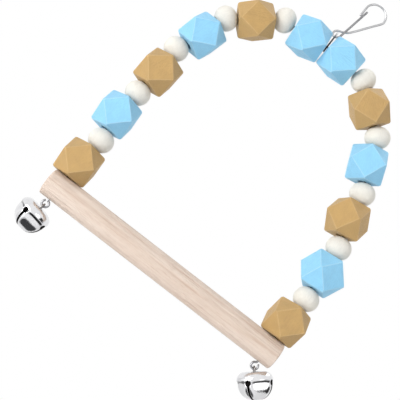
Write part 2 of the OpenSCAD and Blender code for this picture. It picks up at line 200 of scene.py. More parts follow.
def add_piece(name, mesh, materials, body, slot, node, matrix=TO_ROW):
    """Puts a mesh that is in millimetres into the row's frame, as a piece on its body."""
    for material in materials:
        mesh.materials.append(material)
    set_places(mesh, [v.co for v in mesh.vertices])
    mesh.transform(matrix)
    for poly in mesh.polygons:
        poly.use_smooth = True
    ob = link_object(name, mesh)
    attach(ob, body)
    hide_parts(node)
    return ob


class Edited:
    """Opens a mesh for editing and writes it back at the end."""

    def __init__(self, mesh):
        self.mesh = mesh

    def __enter__(self):
        self.bm = bmesh.new()
        self.bm.from_mesh(self.mesh)
        return self.bm

    def __exit__(self, *error):
        self.bm.to_mesh(self.mesh)
        self.bm.free()


def boundary(bm):
    return [e for e in bm.edges if e.is_boundary]


def mesh_of(name, verts, faces):
    mesh = bpy.data.meshes.new(name)
    mesh.from_pydata(verts, [], faces)
    mesh.update()
    return mesh


def faces_between(rows, sides, closed=False):
    """Faces between rows of points that go round a circle."""
    faces = []
    for i in range(rows if closed else rows - 1):
        j = (i + 1) % rows
        for k in range(sides):
            after = (k + 1) % sides
            faces.append((i * sides + k, i * sides + after, j * sides + after, j * sides + k))
    return faces


def circle_angles(sides):
    return [2 * math.pi * k / sides for k in range(sides)]


def lathe_mesh(name, profile, sides, closed=False):
    """Turns (radius, height) points about Z."""
    verts = [(r * math.cos(a), r * math.sin(a), z)
             for r, z in profile for a in circle_angles(sides)]
    return mesh_of(name, verts, faces_between(len(profile), sides, closed))


def frames_along(points):
    """Unit tangents, and normals carried along the path with the least turning."""
    pts = [Vector(p) for p in points]
    last = len(pts) - 1
    tangents = [(pts[min(i + 1, last)] - pts[max(i - 1, 0)]).normalized() for i in range(last + 1)]
    start = Vector((0, 1, 0)) if abs(tangents[0].y) < 0.9 else Vector((1, 0, 0))
    normals = [(start - tangents[0] * start.dot(tangents[0])).normalized()]
    for t in tangents[1:]:
        normals.append((normals[-1] - t * normals[-1].dot(t)).normalized())
    return pts, tangents, normals


# How far each row of a wire's end goes out, and its share of the radius
ROUND_END = ((0.35, 0.97), (0.6, 0.8), (0.75, 0.5), (0.8, 0.12))
CUT_END = ((0.1, 0.93), (0.13, 0.6), (0.13, 0.1))


def tube_mesh(name, points, radius, end=CUT_END):
    """A round wire swept along the points, in millimetres."""
    pts, tangents, normals = frames_along(points)

    def ring(at, out=0.0, share=1.0):
        across = tangents[at].cross(normals[at])
        centre = pts[at] + tangents[at] * radius * out
        return [centre + (normals[at] * math.cos(a) + across * math.sin(a)) * radius * share
                for a in circle_angles(WIRE_SIDES)]

    rings = [ring(0, -out, share) for out, share in end[::-1]]
    rings += [ring(at) for at in range(len(pts))]
    rings += [ring(-1, out, share) for out, share in end]
    verts = [tuple(v) for row in rings for v in row]
    faces = faces_between(len(rings), WIRE_SIDES)
    faces.append(tuple(range(WIRE_SIDES))[::-1])
    faces.append(tuple(range(len(verts) - WIRE_SIDES, len(verts))))
    return mesh_of(name, verts, faces)


def smooth_path(keys, steps):
    """Centripetal Catmull-Rom curve through the keys."""
    pts = [Vector(k) for k in keys]
    pts = [pts[0] * 2 - pts[1]] + pts + [pts[-1] * 2 - pts[-2]]
    out = []
    for i in range(1, len(pts) - 2):
        p0, p1, p2, p3 = pts[i - 1:i + 3]
        t0 = 0.0
        t1 = t0 + max((p1 - p0).length, 1e-6) ** 0.5
        t2 = t1 + max((p2 - p1).length, 1e-6) ** 0.5
        t3 = t2 + max((p3 - p2).length, 1e-6) ** 0.5
        for k in range(steps):
            t = t1 + (t2 - t1) * k / steps
            a1 = p0 * ((t1 - t) / (t1 - t0)) + p1 * ((t - t0) / (t1 - t0))
            a2 = p1 * ((t2 - t) / (t2 - t1)) + p2 * ((t - t1) / (t2 - t1))
            a3 = p2 * ((t3 - t) / (t3 - t2)) + p3 * ((t - t2) / (t3 - t2))
            b1 = a1 * ((t2 - t) / (t2 - t0)) + a2 * ((t - t0) / (t2 - t0))
            b2 = a2 * ((t3 - t) / (t3 - t1)) + a3 * ((t - t1) / (t3 - t1))
            out.append(b1 * ((t2 - t) / (t2 - t1)) + b2 * ((t - t1) / (t2 - t1)))
    out.append(pts[-2].copy())
    return out


# Materials
def add_node(tree, kind, values=None, **settings):
    """A shader node with its settings, and with each input linked or set to a constant."""
    node = tree.nodes.new("ShaderNode" + kind)
    for key, value in settings.items():
        setattr(node, key, value)
    for key, value in (values or {}).items():
        if isinstance(value, bpy.types.NodeSocket):
            tree.links.new(value, node.inputs[key])
        else:
            node.inputs[key].default_value = value
    return node


class Nodes:
    """A new material, and short names for the nodes that it is made of."""

    def __init__(self, name):
        self.material = bpy.data.materials.new(name)
        self.material.use_nodes = True
        self.tree = self.material.node_tree
        self.tree.nodes.clear()
        self.shader = self.add("BsdfPrincipled")
        self.add("OutputMaterial", {"Surface": self.shader.outputs[0]})

    def add(self, kind, values=None, **settings):
        return add_node(self.tree, kind, values, **settings)

    def set(self, **values):
        for key, value in values.items():
            socket = self.shader.inputs[key.replace("_", " ")]
            if isinstance(value, bpy.types.NodeSocket):
                self.tree.links.new(value, socket)
            else:
                socket.default_value = value

    def attribute(self, name, output="Fac"):
        return self.add("Attribute", attribute_name=name).outputs[output]

    def stretched(self, vector, scale):
        return self.add("Mapping", {"Vector": vector, "Scale": scale}).outputs[0]

    def noise(self, vector, scale, detail, roughness=0.5):
        values = {"Vector": vector, "Scale": scale, "Detail": detail, "Roughness": roughness}
        return self.add("TexNoise", values).outputs["Fac"]

    def ramp(self, factor, stops):
        node = self.add("ValToRGB", {"Fac": factor})
        while len(node.color_ramp.elements) < len(stops):
            node.color_ramp.elements.new(0.5)
        for element, (at, colour) in zip(node.color_ramp.elements, stops):
            element.position = at
            element.color = (*colour, 1.0)
        return node.outputs["Color"]

    def maths(self, operation, a, b=0.0):
        return self.add("Math", {0: a, 1: b}, operation=operation).outputs[0]

    def times(self, a, b):
        return self.maths("MULTIPLY", a, b)

    def raised(self, start, field, share):
        """start + field * share"""
        return self.maths("ADD", start, self.times(field, share))

    def weighted(self, a, a_share, b, b_share):
        """a * a_share + b * b_share"""
        return self.maths("ADD", self.times(a, a_share), self.times(b, b_share))

    def blend(self, kind, factor, a, b):
        values = {0: factor, 6: a, 7: b}
        return self.add("Mix", values, data_type="RGBA", blend_type=kind).outputs[2]

    def bump(self, height, strength, distance, normal=None):
        values = {"Height": height, "Strength": strength, "Distance": distance}
        if normal is not None:
            values["Normal"] = normal
        return self.add("Bump", values).outputs["Normal"]


def srgb(r, g, b):
    """Linear colour from a screen colour of 0 to 255."""
    def one(v):
        v /= 255
        return v / 12.92 if v <= 0.04045 else ((v + 0.055) / 1.055) ** 2.4
    return one(r), one(g), one(b)


NONE, FULL = (0.0, 0.0, 0.0), (1.0, 1.0, 1.0)
WOOD_SHINE = 0.35


def painted_wood(name, colour, worn, grain_depth, roughness):
    """Thin matt paint over turned or cut wood: the grain shows through and the edges are rubbed."""
    m = Nodes(name)
    place = m.attribute("place", "Vector")
    seed = m.attribute("tone")
    shift = m.add("CombineXYZ", {0: seed, 1: m.times(seed, 3.1), 2: m.times(seed, 7.7)}).outputs[0]
    moved = m.add("VectorMath", {0: place, 1: shift}, operation="ADD").outputs[0]
    grain = m.noise(m.stretched(moved, (1.0, 1.0, 0.16)), 2.6, 5.0, 0.62)
    cloud = m.noise(moved, 0.16, 2.0)
    speck = m.noise(moved, 7.0, 3.0, 0.7)
    # The paint is a little uneven on each bead, and no two beads have quite the same tone
    dark = tuple(c * 0.93 for c in colour)
    light = tuple(min(1.0, c * 1.04) for c in colour)
    base = m.ramp(grain, ((0.32, dark), (0.52, colour), (0.72, light)))
    tint = m.ramp(cloud, ((0.3, (0.95, 0.95, 0.955)), (0.7, (1.03, 1.03, 1.02))))
    base = m.blend("MULTIPLY", 1.0, base, tint)
    tone = m.ramp(seed, ((0.0, (0.965, 0.965, 0.97)), (1.0, (1.0, 1.0, 0.995))))
    base = m.blend("MULTIPLY", 1.0, base, tone)
    rubbed = m.times(m.attribute("wear"), m.ramp(speck, ((0.38, NONE), (0.62, FULL))))
    base = m.blend("MIX", m.times(rubbed, 0.55), base, (*worn, 1.0))
    normal = m.bump(grain, 0.5, grain_depth, m.bump(speck, 0.25, 0.02))
    rough = m.raised(roughness, m.maths("SUBTRACT", speck, 0.5), 0.16)
    m.set(Base_Color=base, Roughness=rough, Normal=normal, Specular_IOR_Level=WOOD_SHINE)
    return m.material


def perch_wood(name):
    """Bare beech: long fine grain with short dark flecks, and browner on the sawn ends."""
    m = Nodes(name)
    place = m.attribute("place", "Vector")
    _, y, z = m.add("SeparateXYZ", {0: place}).outputs
    bend = m.noise(m.stretched(place, (0.012, 0.05, 0.05)), 1.0, 2.0)
    across = m.weighted(y, 0.75, z, 0.42)
    rings = m.raised(0.5, m.maths("SINE", m.weighted(across, 2.4, bend, 9.0)), 0.5)
    streak = m.noise(m.stretched(place, (0.022, 0.5, 0.5)), 1.3, 5.0, 0.7)
    fleck_field = m.noise(m.stretched(place, (0.13, 1.7, 1.7)), 1.0, 2.0)
    flecks = m.ramp(fleck_field, ((0.60, NONE), (0.68, FULL)))
    grain = m.weighted(rings, 0.12, streak, 0.88)
    base = m.ramp(grain, ((0.3, srgb(198, 172, 154)), (0.42, srgb(211, 191, 176)),
                          (0.53, srgb(218, 200, 186)), (0.7, srgb(224, 208, 195))))
    base = m.blend("MIX", m.times(flecks, 0.25), base, (*srgb(178, 146, 122), 1.0))
    sawn = m.times(m.attribute("end_grain"), 0.55)
    base = m.blend("MIX", sawn, base, (*srgb(205, 176, 150), 1.0))
    normal = m.bump(streak, 0.45, 0.06, m.bump(flecks, -0.35, 0.03))
    rough = m.raised(0.52, streak, 0.18)
    m.set(Base_Color=base, Roughness=rough, Normal=normal, Specular_IOR_Level=WOOD_SHINE)
    return m.material


def bright_metal(name, colour, dull, roughness, scratch_scale, bump_strength):
    """Plated or drawn metal: clean, with faint clouding, fine scratches and painted shade in bent
    lines and gaps.
    """
    m = Nodes(name)
    place = m.attribute("place", "Vector")
    cloud = m.noise(place, 0.35, 4.0, 0.6)
    marks = m.noise(m.stretched(place, (1.0, 1.0, 0.1)), scratch_scale, 6.0, 0.7)
    base = m.ramp(cloud, ((0.3, dull), (0.65, colour)))
    # Painted shade: the colour goes near black where the mesh marks shade
    base = m.blend("MIX", m.times(m.attribute("painted_shade"), 0.94), base, (*NONE, 1.0))
    rough = m.raised(roughness, m.ramp(marks, ((0.45, NONE), (0.75, FULL))), 0.12)
    normal = m.bump(marks, bump_strength, 0.01)
    m.set(Base_Color=base, Roughness=rough, Normal=normal, Metallic=1.0)
    return m.material


# Paint, the colour where it is rubbed, the grain's depth and the roughness
TAN = painted_wood("tan_paint", srgb(202, 165, 107), srgb(228, 200, 154), 0.05, 0.44)
BLUE = painted_wood("blue_paint", srgb(154, 219, 255), srgb(210, 240, 255), 0.04, 0.42)
WHITE = painted_wood("white_paint", srgb(243, 240, 231), srgb(252, 250, 244), 0.05, 0.5)
PERCH = perch_wood("bare_beech")
# Metal, the colour where it is dull, the roughness, the scratches' scale and the bump's strength
BELL = bright_metal("bright_nickel", (0.82, 0.82, 0.83), (0.72, 0.72, 0.74), 0.06, 2.2, 0.05)
INSIDE = bright_metal("bell_inside", (0.09, 0.085, 0.08), (0.05, 0.048, 0.045), 0.4, 2.0, 0.1)
EYE = bright_metal("bell_eye_wire", (0.3, 0.28, 0.27), (0.2, 0.19, 0.18), 0.15, 4.0, 0.12)
# The gate is the clip's own spring wire in a darker copy of its metal: painted shade, as the gate
# lies in shade
GATE = bright_metal("gate_wire", (0.36, 0.36, 0.37), (0.25, 0.25, 0.26), 0.16, 4.0, 0.12)
SPRING = bright_metal("plated_spring_wire", (0.56, 0.56, 0.57), (0.44, 0.44, 0.45), 0.32, 4.0, 0.12)
STEEL = bright_metal("drawn_steel_wire", (0.34, 0.34, 0.35), (0.22, 0.22, 0.23), 0.2, 5.0, 0.15)
BALL = bright_metal("plain_steel_ball", (0.3, 0.3, 0.31), (0.2, 0.2, 0.21), 0.35, 1.5, 0.2)


# Beads
def bead_matrix(node, side):
    """Puts a bead on its joint, with its height along the wire and its X out of the arch."""
    joint = next(j for j in frame["joints"] if j["name"] == node + "_spin")
    axis = Vector(joint["axis"])
    out = Vector((side * axis.z, 0, -side * axis.x))
    turn = Matrix((out, axis.cross(out), axis)).transposed().to_4x4()
    return Matrix.Translation(Vector(joint["pos_m"])) @ turn @ Matrix.Scale(MM, 4)


def corners_of(planes):
    """The corners of the solid behind the planes, each of which is a normal and a distance."""
    corners = []
    for i, one in enumerate(planes):
        for j, two in enumerate(planes[:i]):
            for three in planes[:j]:
                rows = Matrix((one[0], two[0], three[0]))
                if abs(rows.determinant()) < 1e-6:
                    continue
                p = rows.inverted() @ Vector((one[1], two[1], three[1]))
                if any(p.dot(n) > d + 1e-6 for n, d in planes):
                    continue
                if all((p - q).length > 1e-4 for q in corners):
                    corners.append(p)
    return corners


def facet_mesh(name):
    """A cube with its corners cut to the middles of its edges, softened edges and a bored hole."""
    bore_r, rim, soft_edge = FACET_BORE / 2, 0.45, 0.42
    half = FACET_SIZE / 2
    # No two faces are cut quite alike, but the two bored ends stay true
    face_uneven, cut_uneven = (0.0, 0.12), (-0.05, 0.35)
    planes = []
    for a in range(3):
        for e in (-1, 1):
            n = [0, 0, 0]
            n[a] = e
            planes.append((Vector(n), half - (0.0 if a == 2 else rng.uniform(*face_uneven))))
    for i in (-1, 1):
        for j in (-1, 1):
            for k in (-1, 1):
                cut = 2 * half - FACET_WEAR - rng.uniform(*cut_uneven)
                planes.append((Vector((i, j, k)), cut))
    mesh = bpy.data.meshes.new(name)
    with Edited(mesh) as bm:
        for p in corners_of(planes):
            bm.verts.new(p)
        bmesh.ops.convex_hull(bm, input=bm.verts[:])
        bmesh.ops.dissolve_limit(bm, angle_limit=math.radians(1), verts=bm.verts[:],
                                 edges=bm.edges[:])
        bmesh.ops.bevel(bm, geom=bm.edges[:], offset=soft_edge, segments=3, profile=0.55,
                        affect="EDGES", clamp_overlap=True)
        bm.normal_update()

        def circle(r, z):
            return [bm.verts.new((r * math.cos(a), r * math.sin(a), z))
                    for a in circle_angles(BORE_SIDES)]

        def join(a, b):
            for k in range(BORE_SIDES):
                after = (k + 1) % BORE_SIDES
                bm.faces.new((a[k], a[after], b[after], b[k]))

        def end_face(sign):
            return max(bm.faces, key=lambda f: f.calc_area() if f.normal.z * sign > 0.99 else 0)

        # The two end faces are opened and joined to the bore
        bore_ends = []
        for sign, face in [(sign, end_face(sign)) for sign in (-1, 1)]:
            z = face.calc_center_median().z
            outer = list(face.edges)
            bmesh.ops.delete(bm, geom=[face], context="FACES_ONLY")
            rings = [circle(bore_r + rim - rim * cos(a), z - sign * (rim - rim * sin(a)))
                     for a in (90, 60, 30, 0)]
            inner = [bm.edges.new((rings[0][k], rings[0][(k + 1) % BORE_SIDES]))
                     for k in range(BORE_SIDES)]
            bmesh.ops.triangle_fill(bm, use_beauty=True, use_dissolve=False, edges=outer + inner)
            for a, b in zip(rings, rings[1:]):
                join(a, b)
            bore_ends.append(rings[-1])
        join(*bore_ends)
        bmesh.ops.recalc_face_normals(bm, faces=bm.faces[:])
        largest = [max((f.calc_area() for f in v.link_faces), default=0) for v in bm.verts]
    # Points that touch no face of more than this area are on an edge or a rim, and are rubbed
    plain_area = 6
    set_values(mesh, "wear", [0.0 if area > plain_area else 1.0 for area in largest])
    return mesh


def round_mesh(name):
    """A turned ball with flattened ends, a rounded rim at each end and a bore."""
    bore_r, rim, steps = ROUND_BORE / 2, 0.35, 40
    curve_r = ROUND_D / 2 - ROUND_CORE
    half = ROUND_L / 2
    top_a = math.degrees(math.acos((bore_r + rim * 0.7 - ROUND_CORE) / curve_r))
    angles = [-top_a + 2 * top_a * k / steps for k in range(steps + 1)]
    profile = [(ROUND_CORE + curve_r * cos(a), max(-half, min(half, curve_r * sin(a))))
               for a in angles]
    z_top = profile[-1][1]
    bore_top = z_top - 0.4
    profile.append((bore_r + 0.1, z_top - 0.12))
    profile += [(bore_r, bore_top * (1 - k / 3)) for k in range(7)]
    profile.append((bore_r + 0.1, -z_top + 0.12))
    mesh = lathe_mesh(name, profile, ROUND_SIDES, closed=True)
    set_values(mesh, "wear", [1.0 if abs(v.co.z) > z_top - 0.5 else 0.12 for v in mesh.vertices])
    return mesh


def add_bead(name, side, mesh, material, slot, tone, turn):
    """A bead called facet_left_1 rides and replaces the node facet_bead_left_1."""
    node = name.replace("_", "_bead_", 1)
    set_values(mesh, "tone", [tone] * len(mesh.vertices))
    at = bead_matrix(node, side) @ Matrix.Rotation(turn, 4, "Z")
    return add_piece(name, mesh, [material], node, slot, node, at)


rng = random.Random(7)
for side, side_name in SIDES:
    for n, turn in enumerate(FACET_TURNS[side], 1):
        name = "facet_%s_%d" % (side_name, n)
        material, slot = (TAN, "tan_wood") if n % 2 else (BLUE, "blue_wood")
        bead = add_bead(name, side, facet_mesh(name), material, slot,
                        rng.random(), math.radians(side * turn))
        bead.modifiers.new("weighted", "WEIGHTED_NORMAL").weight = 100
    for n in range(1, 6):
        name = "round_%s_%d" % (side_name, n)
        add_bead(name, side, round_mesh(name), WHITE, "white_wood",
                 rng.random(), rng.uniform(0, 6))


# Perch
def perch_mesh():
    """A dowel with rounded edges, along X."""
    half, edge, axis_r, end_rows, body_rows = PERCH_L / 2, 0.75, 0.02, 6, 60
    rows = [(axis_r, -half)] + [(PERCH_R * k / end_rows, -half) for k in range(1, end_rows)]
    rows += [(PERCH_R - edge + edge * sin(a), -half + edge - edge * cos(a))
             for a in (0, 18, 36, 54, 72, 90)]
    body = [(PERCH_R, -half + edge + (PERCH_L - 2 * edge) * k / body_rows)
            for k in range(1, body_rows)]
    mirrored = [(r, -z) for r, z in rows[::-1]]
    mesh = lathe_mesh("perch_dowel", rows + body + mirrored, PERCH_SIDES)
    with Edited(mesh) as bm:
        along_x = Matrix.Rotation(math.radians(90), 3, "Y")
        bmesh.ops.rotate(bm, verts=bm.verts, cent=(0, 0, 0), matrix=along_x)
        bmesh.ops.holes_fill(bm, edges=boundary(bm), sides=0)
        bmesh.ops.recalc_face_normals(bm, faces=bm.faces[:])
    return mesh


def hole_cutter_mesh():
    r, half, axis_r, sides = WIRE_R + HOLE_CLEAR, 12, 0.01, 32
    profile = [(axis_r, -half), (r, -half), (r, half), (axis_r, half)]
    mesh = lathe_mesh("hole_cutter", profile, sides)
    with Edited(mesh) as bm:
        bmesh.ops.holes_fill(bm, edges=boundary(bm), sides=0)
        bmesh.ops.recalc_face_normals(bm, faces=bm.faces[:])
    return mesh


def apply_modifiers(ob):
    graph = bpy.context.evaluated_depsgraph_get()
    old, ob.data = ob.data, bpy.data.meshes.new_from_object(ob.evaluated_get(graph))
    ob.modifiers.clear()
    bpy.data.meshes.remove(old)


perch = add_piece("perch_dowel", perch_mesh(), [PERCH], "swing", "perch_wood", "perch")
cutter_mesh = hole_cutter_mesh()
for side, _ in SIDES:
    cutter = link_object("hole_cutter", cutter_mesh)
    cutter.matrix_world = TO_ROW @ Matrix.Translation(Vector((side * LEG_X, 0, 0)))
    cut = perch.modifiers.new("hole", "BOOLEAN")
    cut.object = cutter
    cut.operation = "DIFFERENCE"
    cut.solver = "EXACT"
    bpy.context.view_layer.update()
    apply_modifiers(perch)
    bpy.data.objects.remove(cutter)
# The cuts spoil the places, so they are made anew
places = [(v.co - PERCH_MIDDLE) / MM for v in perch.data.vertices]
set_places(perch.data, places)
set_values(perch.data, "end_grain", [float(abs(p.x) > PERCH_L / 2 - 0.2) for p in places])
perch.modifiers.new("weighted", "WEIGHTED_NORMAL").weight = 100

# Arch wire with its end loops
LOOP_TOP_Z = -PERCH_R - (WIRE_R * math.sqrt(1 + 0.25 ** 2) + 0.03) - 3 * HOLE_CLEAR
LOOP_Z = LOOP_TOP_Z - END_LOOP_R


def arch_side(side):
    """The wire from the open end of its loop up to the crown, which it stops short of."""
    leg_x, steps = side * LEG_X, 110
    points = [(leg_x - side * END_LOOP_R * sin(a), 0, LOOP_Z + END_LOOP_R * cos(a))
              for a in (*range(326, 24, -12), 24, 12)]
    points.append((leg_x - side * 0.08, 0, LOOP_TOP_Z + 0.25))
    points.append((leg_x, 0, -PERCH_R + 0.3))
    points += [(leg_x, 0, -PERCH_R + 1.5 + k * 1.8) for k in range(8)]
    for k in range(steps):
        x, z, _ = wire_at(side, side_length(side) * (1 - k / steps))
        points.append((x, 0, z))
    return points


crown_x, crown_z, _ = wire_at(1, 0)
arch = arch_side(-1) + [(crown_x, 0, crown_z)] + arch_side(1)[::-1]
add_piece("arch_wire_bent", tube_mesh("arch_wire_bent", arch, WIRE_R), [STEEL],
          "swing", "arch_wire", "arch_wire")


# Link ring, with the hairline of its butt joint
def ring_points():
    points = []
    gap, last = 1.3, 71
    for k in range(last + 1):
        a = -90 + gap + (360 - 2 * gap) * k / last
        u = RING_CENTRE_OUT + RING_R * sin(a)
        v = RING_R * cos(a)
        points.append(in_arch((0, u * sin(RING_LEAN) + v * cos(RING_LEAN),
                               u * cos(RING_LEAN) - v * sin(RING_LEAN))))
    return points


# The ring is darkened with painted shade between the two beads, and turns bright over the fade's
# height
RING_FADE = 2.5
RING_BRIGHT_Z = GAP_Z + RING_CENTRE_OUT + RING_FADE
mesh = tube_mesh("split_ring", ring_points(), RING_WIRE_R)
ring_shade_share = [clamp((RING_BRIGHT_Z - v.co.z) / RING_FADE) for v in mesh.vertices]
# Painted shade on the ring where it sits between the beads
set_values(mesh, "painted_shade", [0.9 * share for share in ring_shade_share])
add_piece("split_ring", mesh, [SPRING], "link_ring", "ring_wire", "link_ring")

# Spring clip
LEG_FOOT, GATE_FOOT = eye_point(135), eye_point(15)
BOW_Y, GATE_Y = LEG_FOOT.y, GATE_FOOT.y
GATE_TIP = Vector((-0.51 * BOW_R, GATE_Y, 0.86 * CLIP_REACH))


def clip_points():
    """The fixed wire: round the eye, up the leg, over the bow and down to the hook's lip."""
    keys = [eye_point(142), LEG_FOOT]
    for out, height in ((0.31, 0.235), (0.47, 0.385), (0.6, 0.56), (0.79, 0.83)):
        keys.append(Vector((out * BOW_R, BOW_Y, height * CLIP_REACH)))
    for a in (18, 30, 45, 60, 75, 90, 105, 120, 135, 150, 165, 178, 187):
        keys.append(Vector((BOW_R * cos(a), BOW_Y, CLIP_REACH + BOW_R * sin(a))))
    slope = (GATE_TIP.x - GATE_FOOT.x) / (GATE_TIP.z - GATE_FOOT.z)
    lip_z = 0.816 * GATE_TIP.z
    beside = (2 * CLIP_WIRE_R + 0.06) * math.sqrt(1 + slope * slope)
    lip_x = GATE_FOOT.x + slope * (lip_z - GATE_FOOT.z) - beside
    for x, y, z in ((-1.2, 0, 2.9), (-0.25, 0, 0.75), (0, -0.35, 0.1), (0, -1.0, 0), (0, -1.6, 0)):
        keys.append(Vector((lip_x + x, BOW_Y + y, lip_z + z)))
    around_eye = [eye_point(a) for a in range(358, 140, -8)]
    return [in_clip(p) for p in around_eye + smooth_path(keys, 8)]


def gate_points():
    last, reach = 14, 0.98
    straight = [GATE_FOOT + (GATE_TIP - GATE_FOOT) * k / last * reach for k in range(last + 1)]
    return [in_clip(p) for p in [eye_point(9), eye_point(12)] + straight]


for name, points, material, body, node in (
        ("clip_bent_wire", clip_points(), SPRING, "clip", "clip_body"),
        ("clip_gate_wire", gate_points(), GATE, "clip_gate", "clip_gate")):
    add_piece(name, tube_mesh(name, points, CLIP_WIRE_R, ROUND_END), [material],
              body, "spring_wire", node)

# Bells. Each one's own zero is the middle of its eye's top wire, and its axis runs down.
BELL_EYE_R = 4 * BELL_EYE_WIRE_R
BELL_EYE_H = 2 * WIRE_R + EYE_CLEAR + 2 * BELL_EYE_WIRE_R
WAIST_Z = -BELL_EYE_H - DOME_H
BELL_HANG_Z = LOOP_Z - END_LOOP_R + WIRE_R + EYE_CLEAR + BELL_EYE_WIRE_R
# Swing along the perch, swing away from the viewer, and turn of the slots about the bell's axis
BELL_TURNS = {-1: (12, 8, 72), 1: (-40, 0, 57)}


def bell_matrix(side):
    swing, back, _ = BELL_TURNS[side]
    hang = Matrix.Translation(Vector((side * LEG_X, 0, BELL_HANG_Z)))
    swung = Matrix.Rotation(math.radians(swing), 4, "Y")
    return TO_ROW @ hang @ swung @ Matrix.Rotation(math.radians(back), 4, "X")


# A petal starts round at the waist and turns into its flattened form over the height of the tuck
TUCK = 1.5
PETAL_ROUND_R = min(PETAL_H + PETAL_FLAT / 4, BELL_R - POLE_FLAT)
PETAL_ROUND_Z = PETAL_ROUND_R - (PETAL_H + PETAL_FLAT / 4)
FLAT_R = min(PETAL_H, BELL_R - PETAL_FLAT - POLE_FLAT)
FLAT_X, FLAT_Z = BELL_R - PETAL_FLAT - FLAT_R, FLAT_R - PETAL_H
SQUARENESS = 18
SLOT_HOLE_R = SLOT_HOLE_D / 2
SLOT_TAPER = 0.35
DOME_RISE = 0.2
MOUTH_SHARE = 0.996


def reach(r, height):
    """Half width of a circle of radius r at a height from its middle, which above it stays r."""
    return math.sqrt(max(r ** 2 - min(height, 0.0) ** 2, 0.0))


def petal_radius(z, a):
    """Distance from the bell's axis, at an angle of 0 to 90 between two slots."""
    round_r = BELL_R - PETAL_ROUND_R + reach(PETAL_ROUND_R, z - PETAL_ROUND_Z)
    flat = (FLAT_X + reach(FLAT_R, z - FLAT_Z)) / cos(a - 45)
    squared = (round_r ** -SQUARENESS + max(flat, 0.05) ** -SQUARENESS) ** (-1 / SQUARENESS)
    u = clamp(-z / TUCK)
    share = u * u * (3 - 2 * u)
    return round_r * (1 - share) + squared * share


def slot_half(z):
    """Half the slot's width: it starts in a round hole and narrows to the bottom."""
    half = SLOT_W / 2 * (1 - SLOT_TAPER * (-z / PETAL_H))
    if abs(z + SLOT_HOLE_R) < SLOT_HOLE_R:
        disc = math.sqrt(SLOT_HOLE_R ** 2 - (z + SLOT_HOLE_R) ** 2)
        half = disc if z > -SLOT_HOLE_R else max(half, disc)
    return half


def slot_edge(z):
    """Angle of the slot's edge, found by steps, since the petal's radius changes with it."""
    edge = 4.0
    for _ in range(12):
        edge = math.degrees(math.asin(min(slot_half(z) / max(petal_radius(z, edge), 0.01), 0.68)))
    return edge


def painted_shade_at(z, a):
    """Painted shade along the bent line under the waist, which sags beside the slots and fades at
    them.
    """
    dip = -z - 0.8 - 1.1 * ((a - 45) / 45) ** 2
    inside = clamp((min(a, 90 - a) - 10) / 8)
    return inside * math.exp(-(dip / 0.55) ** 4)


def bell_shell_mesh(name, turn):
    """A pressed sheet: a dome over four flattened petals, with slots that start in a round hole."""
    # Each row is its height and, on the dome, its distance from the axis
    rows = [(DOME_H - DOME_RISE * (r / (BELL_R - DOME_H)) ** 2, max(r, 0.02)) for r in range(5)]
    rows += [((DOME_H - DOME_RISE) * sin(a), BELL_R - DOME_H + DOME_H * cos(a))
             for a in range(90, -1, -5)]
    rows += [(-MOUTH_SHARE * PETAL_H * sin(90 * (k / PETAL_ROWS) ** 1.2), None)
             for k in range(1, PETAL_ROWS + 1)]
    verts, faces, painted_shades = [], [], []
    for quarter in range(4):
        start = len(verts)
        for z, dome_r in rows:
            edge = slot_edge(z) if dome_r is None else 0.0
            for k in range(PETAL_SEGMENTS + 1):
                a = edge + (90 - 2 * edge) * k / PETAL_SEGMENTS
                r = petal_radius(z, a) if dome_r is None else dome_r
                ang = math.radians(a + 90 * quarter + turn)
                verts.append((r * math.cos(ang), r * math.sin(ang), WAIST_Z + z))
                painted_shades.append(painted_shade_at(z, a))
        for i in range(len(rows) - 1):
            for k in range(PETAL_SEGMENTS):
                a = start + i * (PETAL_SEGMENTS + 1) + k
                faces.append((a, a + 1, a + PETAL_SEGMENTS + 2, a + PETAL_SEGMENTS + 1))
    mesh = mesh_of(name, verts, faces)
    # Painted shade along the bent line under the waist
    set_values(mesh, "painted_shade", painted_shades)
    waist = Vector((0, 0, WAIST_Z))
    with Edited(mesh) as bm:
        bmesh.ops.remove_doubles(bm, verts=bm.verts, dist=1e-4)
        top = [e for e in boundary(bm) if all(v.co.xy.length < 0.1 for v in e.verts)]
        bmesh.ops.holes_fill(bm, edges=top, sides=0)
        bmesh.ops.recalc_face_normals(bm, faces=bm.faces[:])
        if sum(f.normal.dot(f.calc_center_median() - waist) for f in bm.faces) < 0:
            bmesh.ops.reverse_faces(bm, faces=bm.faces[:])
    return mesh


# The eye's foot bar lies under the dome, as high as its two ends allow
FOOT_Y = BELL_EYE_R + 2 * BELL_EYE_WIRE_R
FOOT_REACH = max(FOOT_Y - BELL_R + DOME_H, 0.0)
FOOT_DROP = DOME_H - BELL_WALL - math.sqrt((DOME_H - BELL_WALL) ** 2 - FOOT_REACH ** 2)
FOOT_Z = -BELL_EYE_H - BELL_WALL - FOOT_DROP - BELL_EYE_WIRE_R - 0.03 - HOLE_CLEAR


def bell_eye_mesh(name):
    """A wire bow through the dome, and the bar inside that holds it."""
    leg = [FOOT_Z + (-BELL_EYE_R - FOOT_Z) * k / 5 for k in range(5)]
    path = [(0, BELL_EYE_R, z) for z in leg]
    path += [(0, BELL_EYE_R * cos(a), -BELL_EYE_R + BELL_EYE_R * sin(a)) for a in range(0, 181, 10)]
    path += [(0, -BELL_EYE_R, z) for z in leg[::-1]]
    mesh = tube_mesh(name, path, BELL_EYE_WIRE_R)
    bar = tube_mesh("bar", [(0, y, FOOT_Z) for y in (-FOOT_Y, 0, FOOT_Y)], BELL_EYE_WIRE_R + 0.03)
    with Edited(mesh) as bm:
        bm.from_mesh(bar)
    return mesh


